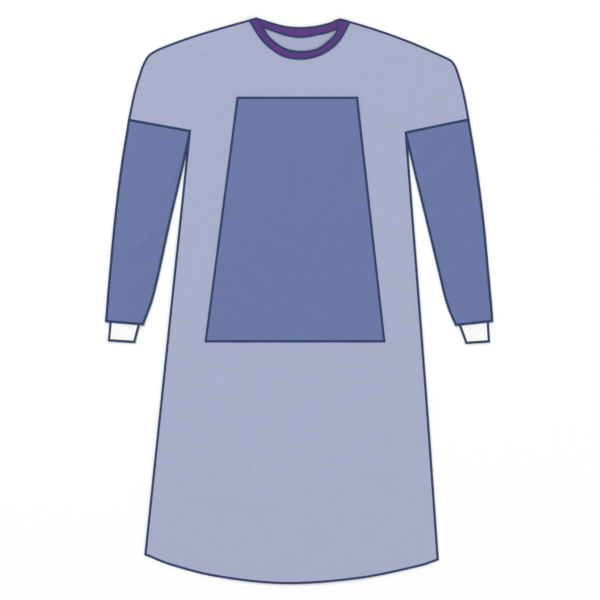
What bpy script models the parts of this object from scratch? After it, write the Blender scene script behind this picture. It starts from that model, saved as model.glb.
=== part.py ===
"""Surgical gown laid flat on its back, front up, neck towards +Y.

Metres, +Z up, floor at z = 0. The wearer's right is on the -X side.
Panels are cut from one shared flat plan, so layers that lie on each other share their points.
Lower sleeves and cuffs are flattened tubes through sections.
"""

from collections import namedtuple
import math

import bmesh
import bpy
from mathutils import Vector
from mathutils.geometry import delaunay_2d_cdt, interpolate_bezier

# Cloth
WALL = 0.0012
SEAM_GAP = 0.0003
LAYER = WALL + SEAM_GAP
BAND_CROWN = 0.0006     # the folded neck tape is thicker along its middle, in front
SETTLE = 0.045          # a layer comes down over this distance past the edge under it

# Plan mesh
GRID = 0.036
STEP = 0.026            # longest chord on curved edges
NECK_STEP = 0.016
NECK_RUN = 0.30         # about the length of a neck edge
CLEAR = 0.45 * GRID     # inner plan points stay this far from every cut line
SNAP = 1e-5
FREE_EDGE_CUT = 0.001   # how finely a free edge is cut off at the outline
FREE_EDGE_REACH = 0.002 # how far it runs past the outline

# Lift of the top layer over the flat stack
EDGE_LIFT = 0.0010      # reached this far in from a sewn edge
EDGE_BAND = 0.030
RELIEF_MAX = 0.0034     # keeps the layers closer than 4 mm

# Sleeve and cuff tubes
EDGE_HEIGHT = 2 * WALL + SEAM_GAP
ARC_POINTS = 3          # points between floor row and top row, round a folded edge
SLEEVE_STATIONS = 13
CUFF_TUCK = 0.008       # cuff length sewn inside the sleeve end
CUFF_DROP = 0.012       # cuff comes down to the floor over this length
MOUTH_LIFT = EDGE_HEIGHT + SEAM_GAP   # room for the cuff in the sleeve end
MOUTH_FULL = 0.013      # full room from here to the sleeve end
MOUTH_START = 0.045     # room starts to open here
LENGTH_CUTS = 401       # points that a tube's edges are read at
SEAM_DIRECTION = 0.02   # share of the tube's length that gives its direction at the seam

Point = namedtuple("Point", "x y")
Section = namedtuple("Section", "outer_x outer_y inner_x inner_y")
Fold = namedtuple("Fold", "start_x start_y end_x end_y half_width height")
Strip = namedtuple("Strip", "start_x start_y end_x end_y width")

# Body edges
RIGHT_SHOULDER = (
    Point(-0.1137, 0.6444), Point(-0.1766, 0.6275), Point(-0.2491, 0.6055),
    Point(-0.3185, 0.5798), Point(-0.3390, 0.5688), Point(-0.3480, 0.5609),
    Point(-0.3542, 0.5499), Point(-0.3610, 0.5344), Point(-0.3768, 0.4831),
    Point(-0.3912, 0.4156),
)
LEFT_SHOULDER = (
    Point(0.1155, 0.6410), Point(0.1761, 0.6233), Point(0.2562, 0.5943),
    Point(0.3267, 0.5636), Point(0.3420, 0.5566), Point(0.3500, 0.5518),
    Point(0.3560, 0.5441), Point(0.3616, 0.5331), Point(0.3767, 0.4824),
    Point(0.3896, 0.4165),
)
RIGHT_UNDERARM = Point(-0.2509, 0.3902)
LEFT_UNDERARM = Point(0.2452, 0.3866)
LEFT_SIDE_BOW = Point(0.2925, -0.2271)
HEM = (
    Point(-0.3532, -0.5835), Point(-0.2942, -0.6066), Point(-0.1909, -0.6326),
    Point(-0.0312, -0.6490), Point(0.1422, -0.6363), Point(0.2802, -0.6081),
    Point(0.3187, -0.5948),
)

# Neck edges, from the wearer's right to the left
FRONT_BAND_OUTER = (
    Point(-0.1137, 0.6444), Point(-0.0885, 0.6045), Point(-0.0655, 0.5815),
    Point(-0.0345, 0.5627), Point(0.0044, 0.5569), Point(0.0401, 0.5631),
    Point(0.0719, 0.5796), Point(0.0948, 0.6028), Point(0.1155, 0.6410),
)
FRONT_BAND_INNER = (
    Point(-0.0974, 0.6490), Point(-0.0825, 0.6256), Point(-0.0692, 0.6052),
    Point(-0.0335, 0.5795), Point(0.0044, 0.5726), Point(0.0422, 0.5785),
    Point(0.0751, 0.6027), Point(0.0868, 0.6176), Point(0.0942, 0.6468),
)
BACK_BAND_OUTER = (
    Point(-0.1137, 0.6444), Point(-0.0656, 0.6240), Point(-0.0322, 0.6124),
    Point(0.0034, 0.6073), Point(0.0389, 0.6124), Point(0.0724, 0.6206),
    Point(0.1155, 0.6410),
)
BACK_BAND_INNER = (
    Point(-0.0974, 0.6490), Point(-0.0767, 0.6429), Point(-0.0655, 0.6390),
    Point(-0.0321, 0.6304), Point(0.0034, 0.6277), Point(0.0390, 0.6307),
    Point(0.0725, 0.6386), Point(0.0868, 0.6452), Point(0.0942, 0.6468),
)

# Short edges of the neck tape on the shoulder points, from the outer edge to the inner one
RIGHT_BAND_END = (Point(-0.1137, 0.6444), Point(-0.1040, 0.6476), Point(-0.0974, 0.6490))
LEFT_BAND_END = (Point(0.1155, 0.6410), Point(0.1044, 0.6447), Point(0.0942, 0.6468))

# Chest panel, straight sides
CHEST_TOP_Y = 0.4665
CHEST_FOOT_Y = -0.0927
CHEST_TOP = (-0.1410, 0.1329)
CHEST_FOOT = (-0.2143, 0.1956)

# Free edges of the back panels, neck to hem
WRAP_EDGE = (Point(-0.1020, 0.7000), Point(-0.1550, -0.7000))
UNDER_EDGE = (Point(0.1230, 0.7000), Point(0.1500, -0.7000))

# Lower sleeves from the slanted seam to the wrist
RIGHT_SLEEVE = (
    Section(-0.3912, 0.4156, -0.2509, 0.3902),
    Section(-0.4098, 0.2974, -0.2737, 0.2858),
    Section(-0.4244, 0.1755, -0.2994, 0.1755),
    Section(-0.4346, 0.0651, -0.3233, 0.0648),
    Section(-0.4398, 0.0052, -0.3378, 0.0053),
    Section(-0.4422, -0.0270, -0.3484, -0.0256),
    Section(-0.4440, -0.0466, -0.3592, -0.0538),
)
LEFT_SLEEVE = (
    Section(0.3896, 0.4165, 0.2452, 0.3866),
    Section(0.4089, 0.2974, 0.2691, 0.2858),
    Section(0.4244, 0.1755, 0.2962, 0.1755),
    Section(0.4347, 0.0651, 0.3228, 0.0650),
    Section(0.4402, 0.0053, 0.3373, 0.0053),
    Section(0.4429, -0.0269, 0.3481, -0.0268),
    Section(0.4440, -0.0462, 0.3610, -0.0552),
)
RIGHT_CUFF = (
    Section(-0.4331, -0.0486, -0.3687, -0.0549),
    Section(-0.4372, -0.0908, -0.3793, -0.0946),
)
LEFT_CUFF = (
    Section(0.4339, -0.0494, 0.3705, -0.0567),
    Section(0.4366, -0.0933, 0.3851, -0.0966),
)

# Width shares of the points across a tube
ACROSS = (0.0, 0.10, 0.24, 0.41, 0.59, 0.76, 0.90, 1.0)

# Soft folds of the top layer
FOLDS = (
    Fold(-0.105, 0.020, -0.205, -0.560, 0.062, 0.0024),
    Fold(0.030, -0.060, 0.012, -0.600, 0.070, 0.0022),
    Fold(0.125, 0.080, 0.215, -0.540, 0.060, 0.0024),
    Fold(-0.262, -0.100, -0.318, -0.480, 0.042, 0.0016),
    Fold(0.255, 0.020, 0.290, -0.430, 0.040, 0.0016),
    Fold(-0.222, 0.352, -0.095, 0.520, 0.046, 0.0022),
    Fold(0.215, 0.345, 0.110, 0.505, 0.044, 0.0020),
    Fold(-0.345, 0.520, -0.190, 0.505, 0.040, 0.0018),
    Fold(0.350, 0.500, 0.205, 0.530, 0.042, 0.0018),
    Fold(-0.020, 0.400, -0.045, 0.120, 0.060, 0.0018),
    Fold(-0.372, 0.360, -0.352, 0.150, 0.036, 0.0018),
    Fold(0.352, 0.350, 0.372, 0.120, 0.036, 0.0018),
    Fold(-0.405, 0.120, -0.385, 0.010, 0.026, 0.0014),
    Fold(0.398, 0.150, 0.392, 0.020, 0.028, 0.0014),
)

# Waist ties on the floor side of the back
WRAP_TIE = Strip(-0.128, 0.120, -0.196, -0.430, 0.028)
SIDE_TIE = Strip(-0.245, 0.110, -0.262, -0.400, 0.028)

# Colours, linear
BODY_BLUE = (0.397, 0.434, 0.591)
PANEL_BLUE = (0.153, 0.195, 0.386)
KNIT_WHITE = (0.880, 0.875, 0.860)
BAND_PURPLE = (0.130, 0.050, 0.235)


def as_vectors(points):
    return [Vector((p.x, p.y)) for p in points]


def smooth_line(points, step):
    """Curve through the points, in chords no longer than the step."""
    knots = as_vectors(points)
    line = [knots[0]]
    for index in range(len(knots) - 1):
        here, there = knots[index], knots[index + 1]
        before = knots[index - 1] if index else here
        after = knots[index + 2] if index + 2 < len(knots) else there
        reach = (there - here).length / 3
        out_handle = here + (there - before).normalized() * reach
        in_handle = there - (after - here).normalized() * reach
        chords = max(1, math.ceil((there - here).length / step))
        cuts = interpolate_bezier(here, out_handle, in_handle, there, chords + 1)
        line += [cut.to_2d() for cut in cuts[1:]]
    return line


def straight_line(start, end, step):
    """Chords of equal length between two points."""
    chords = max(1, math.ceil((end - start).length / step))
    return [start.lerp(end, i / chords) for i in range(chords + 1)]


def spread(line, count):
    """The same line in a given number of points, evenly spaced."""
    lengths = [0.0]
    for here, there in zip(line, line[1:]):
        lengths.append(lengths[-1] + (there - here).length)
    points = []
    leg = 0
    for index in range(count):
        target = lengths[-1] * index / (count - 1)
        while leg < len(line) - 2 and lengths[leg + 1] < target:
            leg += 1
        share = (target - lengths[leg]) / (lengths[leg + 1] - lengths[leg])
        points.append(line[leg].lerp(line[leg + 1], min(1.0, share)))
    return points


def middle_line(first, second):
    """Line half way between two lines of the same number of points."""
    return [a.lerp(b, 0.5) for a, b in zip(first, second)]


def distance_to_line(point, line):
    """Shortest distance from a point to a polyline."""
    best = math.inf
    for here, there in zip(line, line[1:]):
        leg = there - here
        share = (point - here).dot(leg) / leg.length_squared
        nearest = here + leg * min(1.0, max(0.0, share))
        best = min(best, (point - nearest).length)
    return best


def inside(point, ring):
    """Whether a point lies in a closed outline."""
    odd = False
    for here, there in zip(ring, ring[1:] + ring[:1]):
        if (here.y > point.y) != (there.y > point.y):
            cross_x = here.x + (point.y - here.y) / (there.y - here.y) * (there.x - here.x)
            if cross_x > point.x:
                odd = not odd
    return odd


def ease(share):
    """Smooth step from 0 to 1."""
    share = min(1.0, max(0.0, share))
    return share * share * (3 - 2 * share)


def edge_x(edge, y):
    """Where a straight free edge passes at this height on the body."""
    top, foot = edge
    return top.x + (top.y - y) / (top.y - foot.y) * (foot.x - top.x)


def strip_ring(strip):
    """Corners of a straight strip."""
    start = Vector((strip.start_x, strip.start_y))
    end = Vector((strip.end_x, strip.end_y))
    along = (end - start).normalized()
    side = Vector((-along.y, along.x)) * strip.width / 2
    one_edge = straight_line(start + side, end + side, 2 * GRID)
    other_edge = straight_line(end - side, start - side, 2 * GRID)
    return one_edge + other_edge


def make_lines():
    """Every sewn, cut and folded edge of the body as a polyline."""
    neck_count = math.ceil(NECK_RUN / NECK_STEP)
    lines = {}
    lines["right_shoulder"] = smooth_line(RIGHT_SHOULDER, STEP)
    lines["left_shoulder"] = smooth_line(LEFT_SHOULDER, STEP)
    right_underarm = Vector(RIGHT_UNDERARM)
    left_underarm = Vector(LEFT_UNDERARM)
    lines["right_seam"] = straight_line(lines["right_shoulder"][-1], right_underarm, STEP)
    lines["left_seam"] = straight_line(lines["left_shoulder"][-1], left_underarm, STEP)
    lines["hem"] = smooth_line(HEM, GRID)
    lines["right_side"] = straight_line(right_underarm, lines["hem"][0], GRID)
    lines["left_side"] = smooth_line((HEM[-1], LEFT_SIDE_BOW, LEFT_UNDERARM), GRID)
    lines["right_end"] = as_vectors(RIGHT_BAND_END)
    lines["left_end"] = as_vectors(LEFT_BAND_END)
    for name, table in (
        ("front_outer", FRONT_BAND_OUTER),
        ("front_inner", FRONT_BAND_INNER),
        ("back_outer", BACK_BAND_OUTER),
        ("back_inner", BACK_BAND_INNER),
    ):
        lines[name] = spread(smooth_line(table, NECK_STEP / 4), neck_count)
    for side in ("front", "back"):
        neck = middle_line(lines[side + "_outer"], lines[side + "_inner"])
        lines[side + "_neck"] = [lines["right_end"][1]] + neck[1:-1] + [lines["left_end"][1]]
    return lines


def body_ring(lines, neck):
    """Closed outline of the body with one of the two neck edges."""
    ring = list(lines[neck])
    ring += lines["left_shoulder"]
    ring += lines["left_seam"][1:]
    ring += lines["left_side"][::-1][1:]
    ring += lines["hem"][::-1][1:]
    ring += lines["right_side"][::-1][1:]
    ring += lines["right_seam"][::-1][1:]
    ring += lines["right_shoulder"][::-1][1:]
    return ring


def band_ring(lines, side):
    """Closed outline of the front or back neck tape."""
    ring = list(lines[side + "_outer"])
    ring += lines["left_end"][1:]
    ring += lines[side + "_inner"][::-1][1:]
    ring += lines["right_end"][::-1][1:-1]
    return ring


def chest_ring():
    """Closed outline of the chest panel."""
    corners = [
        Vector((CHEST_TOP[0], CHEST_TOP_Y)),
        Vector((CHEST_TOP[1], CHEST_TOP_Y)),
        Vector((CHEST_FOOT[1], CHEST_FOOT_Y)),
        Vector((CHEST_FOOT[0], CHEST_FOOT_Y)),
    ]
    ring = []
    for here, there in zip(corners, corners[1:] + corners[:1]):
        ring += straight_line(here, there, GRID)[:-1]
    return ring


def free_edge(edge, ring):
    """The part of a straight free edge that lies on the body."""
    line = straight_line(Vector(edge[0]), Vector(edge[1]), FREE_EDGE_CUT)
    kept = [point for point in line if inside(point, ring)]
    reach = (kept[-1] - kept[0]).normalized() * FREE_EDGE_REACH
    return straight_line(kept[0] - reach, kept[-1] + reach, GRID)


def make_plan(lines):
    """One flat triangle plan that holds every cut line, with all closed outlines."""
    rings = {
        "front": body_ring(lines, "front_neck"),
        "back": body_ring(lines, "back_neck"),
        "chest": chest_ring(),
        "front_band": band_ring(lines, "front"),
        "back_band": band_ring(lines, "back"),
        "wrap_tie": strip_ring(WRAP_TIE),
        "side_tie": strip_ring(SIDE_TIE),
    }
    cuts = [ring + ring[:1] for ring in rings.values()]
    cuts.append(free_edge(WRAP_EDGE, rings["back"]))
    cuts.append(free_edge(UNDER_EDGE, rings["back"]))
    points = []
    edges = []
    for cut in cuts:
        first = len(points)
        points += cut
        edges += [(first + i, first + i + 1) for i in range(len(cut) - 1)]
    low_x, high_x = min(p.x for p in points), max(p.x for p in points)
    low_y, high_y = min(p.y for p in points), max(p.y for p in points)
    row_pitch = GRID * math.sqrt(3) / 2
    for row in range(math.ceil((high_y - low_y) / row_pitch)):
        for column in range(math.ceil((high_x - low_x) / GRID) + 1):
            spot = Vector((low_x + (column + 0.5 * (row % 2)) * GRID, low_y + row * row_pitch))
            if inside(spot, rings["back"]) or inside(spot, rings["front"]):
                if min(distance_to_line(spot, cut) for cut in cuts) > CLEAR:
                    points.append(spot)
    plan_points, _, plan_faces, _, _, _ = delaunay_2d_cdt(points, edges, [], 0, SNAP)
    return plan_points, plan_faces, rings


def choose_faces(plan_points, plan_faces, rings):
    """Plan faces of each panel, by the place of their middles."""
    panels = {name: [] for name in (
        "wrap_tie", "side_tie", "back_wrap", "back_under", "back_band", "front", "chest", "front_band"
    )}
    for face in plan_faces:
        middle = sum((plan_points[i] for i in face), Vector((0, 0))) / len(face)
        in_back = inside(middle, rings["back"])
        for name in ("wrap_tie", "side_tie", "back_band", "front", "chest", "front_band"):
            if inside(middle, rings[name]):
                panels[name].append(face)
        if in_back and middle.x > edge_x(WRAP_EDGE, middle.y):
            panels["back_wrap"].append(face)
        if in_back and middle.x < edge_x(UNDER_EDGE, middle.y):
            panels["back_under"].append(face)
    return panels


def cover_shares(plan_points, panels):
    """For each panel and plan point, 1 on the panel, easing to 0 away from its edge."""
    shares = {}
    for name, faces in panels.items():
        on_panel = {i for face in faces for i in face}
        sides = {}
        for face in faces:
            for here, there in zip(face, face[1:] + face[:1]):
                key = (min(here, there), max(here, there))
                sides[key] = sides.get(key, 0) + 1
        border = [key for key, uses in sides.items() if uses == 1]
        share = []
        for index, point in enumerate(plan_points):
            if index in on_panel:
                share.append(1.0)
                continue
            gap = min(
                distance_to_line(point, (plan_points[a], plan_points[b])) for a, b in border
            )
            share.append(1.0 - ease(gap / SETTLE))
        shares[name] = share
    return shares


def make_relief(lines):
    """Height of the top layer over the flat stack, as a function of the place."""
    sleeve_edges = []
    for table in (RIGHT_SLEEVE, LEFT_SLEEVE):
        sleeve_edges.append(smooth_line([Point(s.outer_x, s.outer_y) for s in table], STEP))
        sleeve_edges.append(smooth_line([Point(s.inner_x, s.inner_y) for s in table], STEP))
    sewn = [lines[name] for name in (
        "right_shoulder", "left_shoulder", "right_side", "left_side", "hem", "front_neck"
    )] + sleeve_edges

    def relief(point):
        near = min(distance_to_line(point, line) for line in sewn)
        inward = ease(near / EDGE_BAND)
        height = EDGE_LIFT
        for fold in FOLDS:
            start = Vector((fold.start_x, fold.start_y))
            end = Vector((fold.end_x, fold.end_y))
            leg = end - start
            share = (point - start).dot(leg) / leg.length_squared
            if not 0.0 < share < 1.0:
                continue
            off = (point - start - leg * share).length
            taper = math.sin(math.pi * share)
            height += fold.height * taper * (1.0 - ease(off / fold.half_width))
        return min(RELIEF_MAX, height) * inward

    return relief


def make_sheet(bm, plan_points, faces, heights, crown):
    """Wall of one layer on the given heights, thicker by the crown inside its edges."""
    corners = {}
    for face in faces:
        for index in face:
            if index not in corners:
                place = plan_points[index]
                corners[index] = bm.verts.new((place.x, place.y, heights[index]))
        bm.faces.new([corners[index] for index in face])
    raised = bmesh.ops.extrude_face_region(bm, geom=list(bm.faces))
    top = [item for item in raised["geom"] if isinstance(item, bmesh.types.BMVert)]
    bmesh.ops.translate(bm, verts=top, vec=(0.0, 0.0, WALL))
    bm.normal_update()
    if crown:
        middle = [v for v in top if all(abs(f.normal.z) > 0.5 for f in v.link_faces)]
        bmesh.ops.translate(bm, verts=middle, vec=(0.0, 0.0, crown))


def tube_ring(section, floor, edge_height, top_heights, wall):
    """Outer and inner points of a flattened tube at one section.

    The floor row runs from the outer edge to the inner edge, the top row comes back.
    """
    outer = Vector((section.outer_x, section.outer_y))
    inner = Vector((section.inner_x, section.inner_y))
    across = (inner - outer).normalized()
    width = (inner - outer).length
    radius = edge_height / 2
    slit = radius - wall
    rings = []
    for arc_radius, inset in ((radius, 0.0), (slit, wall)):
        low = []
        high = []
        for share, top in zip(ACROSS, top_heights):
            place = outer + across * (radius + share * (width - 2 * radius))
            low.append(Vector((place.x, place.y, floor + inset)))
            high.append(Vector((place.x, place.y, floor + top - inset)))
        turn = []
        turn_back = []
        for step in range(1, ARC_POINTS + 1):
            angle = math.pi * step / (ARC_POINTS + 1)
            out = arc_radius * math.sin(angle)
            rise = radius - arc_radius * math.cos(angle)
            far = outer + across * (width - radius + out)
            close = outer + across * (radius - out)
            turn.append(Vector((far.x, far.y, floor + rise)))
            turn_back.append(Vector((close.x, close.y, floor + rise)))
        rings.append(low + turn + high[::-1] + turn_back[::-1])
    return rings


def make_tube(bm, stations):
    """Wall of a tube through stations of an outer and an inner ring."""
    loops = [[[bm.verts.new(place) for place in ring] for ring in rings] for rings in stations]
    count = len(loops[0][0])

    def band(first, second):
        for i in range(count):
            j = (i + 1) % count
            bm.faces.new((first[i], first[j], second[j], second[i]))

    for here, there in zip(loops, loops[1:]):
        band(here[0], there[0])
        band(there[1], here[1])
    band(loops[0][1], loops[0][0])
    band(loops[-1][0], loops[-1][1])


def section_at(table, share):
    """Section between the rows of a table, by share of the tube's length."""
    outer = smooth_line([Point(s.outer_x, s.outer_y) for s in table], STEP / 4)
    inner = smooth_line([Point(s.inner_x, s.inner_y) for s in table], STEP / 4)
    index = round(share * (LENGTH_CUTS - 1))
    a = spread(outer, LENGTH_CUTS)[index]
    b = spread(inner, LENGTH_CUTS)[index]
    return Section(a.x, a.y, b.x, b.y)


def move_section(section, shift):
    """The same section moved in the plan."""
    return Section(
        section.outer_x + shift.x, section.outer_y + shift.y,
        section.inner_x + shift.x, section.inner_y + shift.y,
    )


def sleeve_stations(table, relief):
    """Rings of a lower sleeve, with room for the cuff in its end."""
    start = section_at(table, 0.0)
    end = section_at(table, 1.0)
    length = (Vector((end.outer_x, end.outer_y)) - Vector((start.outer_x, start.outer_y))).length
    shares = [i / SLEEVE_STATIONS for i in range(SLEEVE_STATIONS)]
    shares = [share for share in shares if share < 1.0 - MOUTH_START / length]
    shares += [1.0 - MOUTH_START / length, 1.0 - 2 * MOUTH_FULL / length]
    shares += [1.0 - MOUTH_FULL / length, 1.0]
    stations = []
    for share in sorted(set(shares)):
        section = section_at(table, share)
        if share == 0.0:
            second = section_at(table, SEAM_DIRECTION)
            away = Vector((second.outer_x - section.outer_x, second.outer_y - section.outer_y))
            section = move_section(section, away.normalized() * SEAM_GAP)
        to_end = (1.0 - share) * length
        mouth = 1.0 - ease((to_end - MOUTH_FULL) / (MOUTH_START - MOUTH_FULL))
        tops = []
        for place in ACROSS:
            point = Vector((section.outer_x, section.outer_y)).lerp(
                Vector((section.inner_x, section.inner_y)), place
            )
            on_edge = place in (0.0, 1.0)
            soft = 0.0 if on_edge else relief(point)
            room = 0.0 if on_edge else MOUTH_LIFT
            tops.append(EDGE_HEIGHT + soft * (1 - mouth) + room * mouth)
        stations.append(tube_ring(section, 0.0, EDGE_HEIGHT, tops, WALL))
    return stations


def cuff_stations(table):
    """Rings of a cuff, from inside the sleeve end down to the floor and on to its open end."""
    top, foot = table
    along = Vector((foot.outer_x + foot.inner_x - top.outer_x - top.inner_x,
                    foot.outer_y + foot.inner_y - top.outer_y - top.inner_y))
    along.normalize()
    length = (Vector((foot.outer_x, foot.outer_y)) - Vector((top.outer_x, top.outer_y))).length
    rows = []
    for travel in (-CUFF_TUCK, SEAM_GAP, CUFF_DROP, (CUFF_DROP + length) / 2, length):
        share = max(0.0, travel) / length
        section = Section(*(a + (b - a) * share for a, b in zip(top, foot)))
        if travel < 0.0:
            section = move_section(section, along * travel)
        floor = LAYER * (1.0 - ease(max(0.0, travel - SEAM_GAP) / (CUFF_DROP - SEAM_GAP)))
        tops = [EDGE_HEIGHT] * len(ACROSS)
        rows.append(tube_ring(section, floor, EDGE_HEIGHT, tops, WALL))
    return rows


def make_material(name, colour, roughness):
    """Plain matt cloth."""
    material = bpy.data.materials.new(name)
    material.use_nodes = True
    shader = material.node_tree.nodes["Principled BSDF"]
    shader.inputs["Base Color"].default_value = (*colour, 1.0)
    shader.inputs["Roughness"].default_value = roughness
    material.diffuse_color = (*colour, 1.0)
    return material


def add_object(name, bm, colour, roughness, collection):
    """Named solid with outward faces and its own material."""
    bmesh.ops.triangulate(bm, faces=[face for face in bm.faces if len(face.verts) > 3])
    bmesh.ops.recalc_face_normals(bm, faces=bm.faces)
    mesh = bpy.data.meshes.new(name)
    bm.to_mesh(mesh)
    bm.free()
    mesh.materials.append(make_material(name + "_cloth", colour, roughness))
    collection.objects.link(bpy.data.objects.new(name, mesh))


def clear_scene():
    for item in list(bpy.data.objects):
        bpy.data.objects.remove(item, do_unlink=True)


def main():
    clear_scene()
    collection = bpy.data.collections.new("surgical_gown")
    bpy.context.scene.collection.children.link(collection)

    lines = make_lines()
    plan_points, plan_faces, rings = make_plan(lines)
    panels = choose_faces(plan_points, plan_faces, rings)
    shares = cover_shares(plan_points, panels)
    relief = make_relief(lines)
    # Each panel: its object, colour, roughness and the panels that lie below it
    stack = {
        "wrap_tie": ("tie_wrap", BODY_BLUE, 0.75, ()),
        "side_tie": ("tie_side", BODY_BLUE, 0.75, ()),
        "back_wrap": ("back_wrap", BODY_BLUE, 0.75, ("wrap_tie",)),
        "back_under": ("back_under", BODY_BLUE, 0.75, ("wrap_tie", "side_tie", "back_wrap")),
        "back_band": (
            "neck_binding_back", BAND_PURPLE, 0.65, ("back_wrap", "back_under")),
        "front": (
            "front", BODY_BLUE, 0.75,
            ("wrap_tie", "side_tie", "back_wrap", "back_under", "back_band")),
        "chest": (
            "chest_panel", PANEL_BLUE, 0.55,
            ("wrap_tie", "side_tie", "back_wrap", "back_under", "back_band", "front")),
        "front_band": (
            "neck_binding_front", BAND_PURPLE, 0.65,
            ("wrap_tie", "side_tie", "back_wrap", "back_under", "back_band", "front")),
    }
    soft_layers = ("front", "chest", "front_band")
    top_relief = [relief(point) for point in plan_points]
    for panel in panels:
        name, colour, roughness, below = stack[panel]
        heights = []
        for index in range(len(plan_points)):
            height = LAYER * sum(shares[lower][index] for lower in below)
            if panel in soft_layers:
                height += top_relief[index]
            heights.append(height)
        bm = bmesh.new()
        crown = BAND_CROWN if panel == "front_band" else 0.0
        make_sheet(bm, plan_points, panels[panel], heights, crown)
        add_object(name, bm, colour, roughness, collection)

    for name, table in (("sleeve_right", RIGHT_SLEEVE), ("sleeve_left", LEFT_SLEEVE)):
        bm = bmesh.new()
        make_tube(bm, sleeve_stations(table, relief))
        add_object(name, bm, PANEL_BLUE, 0.55, collection)
    for name, table in (("cuff_right", RIGHT_CUFF), ("cuff_left", LEFT_CUFF)):
        bm = bmesh.new()
        make_tube(bm, cuff_stations(table))
        add_object(name, bm, KNIT_WHITE, 0.90, collection)


main()
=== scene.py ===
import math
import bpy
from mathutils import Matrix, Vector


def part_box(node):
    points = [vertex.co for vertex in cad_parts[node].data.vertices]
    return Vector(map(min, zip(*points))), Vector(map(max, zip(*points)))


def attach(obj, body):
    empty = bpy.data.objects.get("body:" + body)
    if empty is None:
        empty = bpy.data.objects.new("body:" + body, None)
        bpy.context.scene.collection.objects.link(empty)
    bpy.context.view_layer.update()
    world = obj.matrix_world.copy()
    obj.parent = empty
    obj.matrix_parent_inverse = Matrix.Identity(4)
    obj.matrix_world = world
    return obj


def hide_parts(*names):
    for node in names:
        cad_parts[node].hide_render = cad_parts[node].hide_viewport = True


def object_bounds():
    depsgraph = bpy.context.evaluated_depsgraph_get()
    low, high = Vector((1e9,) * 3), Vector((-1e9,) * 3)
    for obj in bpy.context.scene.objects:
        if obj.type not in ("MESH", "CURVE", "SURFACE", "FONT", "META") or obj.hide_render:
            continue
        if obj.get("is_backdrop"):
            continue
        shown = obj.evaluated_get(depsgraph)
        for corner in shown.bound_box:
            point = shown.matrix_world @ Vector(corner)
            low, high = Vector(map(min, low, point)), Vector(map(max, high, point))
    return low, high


bl_info = {
    "name": "Surgical Gown",
    "version": (1, 0, 0),
    "blender": (4, 5, 0),
    "location": "3D View > Sidebar > Gown",
    "description": "Makes the cloth, sewing, finishes and stage of a surgical gown laid flat",
    "category": "Add Mesh",
}

from collections import namedtuple

import bmesh
import bpy
import numpy as np
from bpy.props import FloatProperty, FloatVectorProperty, PointerProperty
from mathutils import Vector
from mathutils.bvhtree import BVHTree
from mathutils.geometry import interpolate_bezier

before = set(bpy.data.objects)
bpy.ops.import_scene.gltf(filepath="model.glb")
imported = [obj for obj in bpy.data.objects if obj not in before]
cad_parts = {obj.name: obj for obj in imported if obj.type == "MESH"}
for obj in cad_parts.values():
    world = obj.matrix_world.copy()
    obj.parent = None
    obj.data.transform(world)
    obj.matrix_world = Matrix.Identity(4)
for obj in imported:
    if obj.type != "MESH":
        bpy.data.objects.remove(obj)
cad_low, cad_high = (Vector(corner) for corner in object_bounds())

# Cut lines of the gown, in metres. The wearer's right is on the -X side. A section is the
# outer and the inner edge of a sleeve or cuff, and a bow is how far a crease swerves.
Point = namedtuple("Point", "x y")
Section = namedtuple("Section", "outer_x outer_y inner_x inner_y")
Strip = namedtuple("Strip", "start_x start_y end_x end_y width")
Crease = namedtuple("Crease", "start_x start_y end_x end_y bow half_width height")


def rows(kind, *table):
    """The table's rows, each as a named tuple of the kind."""
    return tuple(kind(*row) for row in table)


RIGHT_PEAK = Point(-0.1137, 0.6444)
LEFT_PEAK = Point(0.1155, 0.6410)
RIGHT_PEAK_INNER = Point(-0.0974, 0.6490)
LEFT_PEAK_INNER = Point(0.0942, 0.6468)
RIGHT_SHOULDER = rows(Point,
    RIGHT_PEAK, (-0.1766, 0.6275), (-0.2491, 0.6055), (-0.3185, 0.5798),
    (-0.3390, 0.5688), (-0.3480, 0.5609), (-0.3542, 0.5499), (-0.3610, 0.5344),
    (-0.3768, 0.4831), (-0.3912, 0.4156),
)
LEFT_SHOULDER = rows(Point,
    LEFT_PEAK, (0.1761, 0.6233), (0.2562, 0.5943), (0.3267, 0.5636),
    (0.3420, 0.5566), (0.3500, 0.5518), (0.3560, 0.5441), (0.3616, 0.5331),
    (0.3767, 0.4824), (0.3896, 0.4165),
)
RIGHT_UNDERARM = Point(-0.2509, 0.3902)
LEFT_UNDERARM = Point(0.2452, 0.3866)
LEFT_SIDE_BOW = Point(0.2925, -0.2271)
HEM = rows(Point,
    (-0.3532, -0.5835), (-0.2942, -0.6066), (-0.1909, -0.6326), (-0.0312, -0.6490),
    (0.1422, -0.6363), (0.2802, -0.6081), (0.3187, -0.5948),
)
FRONT_BAND_OUTER = rows(Point,
    RIGHT_PEAK, (-0.0885, 0.6045), (-0.0655, 0.5815), (-0.0345, 0.5627),
    (0.0044, 0.5569), (0.0401, 0.5631), (0.0719, 0.5796), (0.0948, 0.6028),
    LEFT_PEAK,
)
FRONT_BAND_INNER = rows(Point,
    RIGHT_PEAK_INNER, (-0.0825, 0.6256), (-0.0692, 0.6052), (-0.0335, 0.5795),
    (0.0044, 0.5726), (0.0422, 0.5785), (0.0751, 0.6027), (0.0868, 0.6176),
    LEFT_PEAK_INNER,
)
BACK_BAND_OUTER = rows(Point,
    RIGHT_PEAK, (-0.0656, 0.6240), (-0.0322, 0.6124), (0.0034, 0.6073),
    (0.0389, 0.6124), (0.0724, 0.6206), LEFT_PEAK,
)
BACK_BAND_INNER = rows(Point,
    RIGHT_PEAK_INNER, (-0.0767, 0.6429), (-0.0655, 0.6390), (-0.0321, 0.6304),
    (0.0034, 0.6277), (0.0390, 0.6307), (0.0725, 0.6386), (0.0868, 0.6452),
    LEFT_PEAK_INNER,
)
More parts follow.
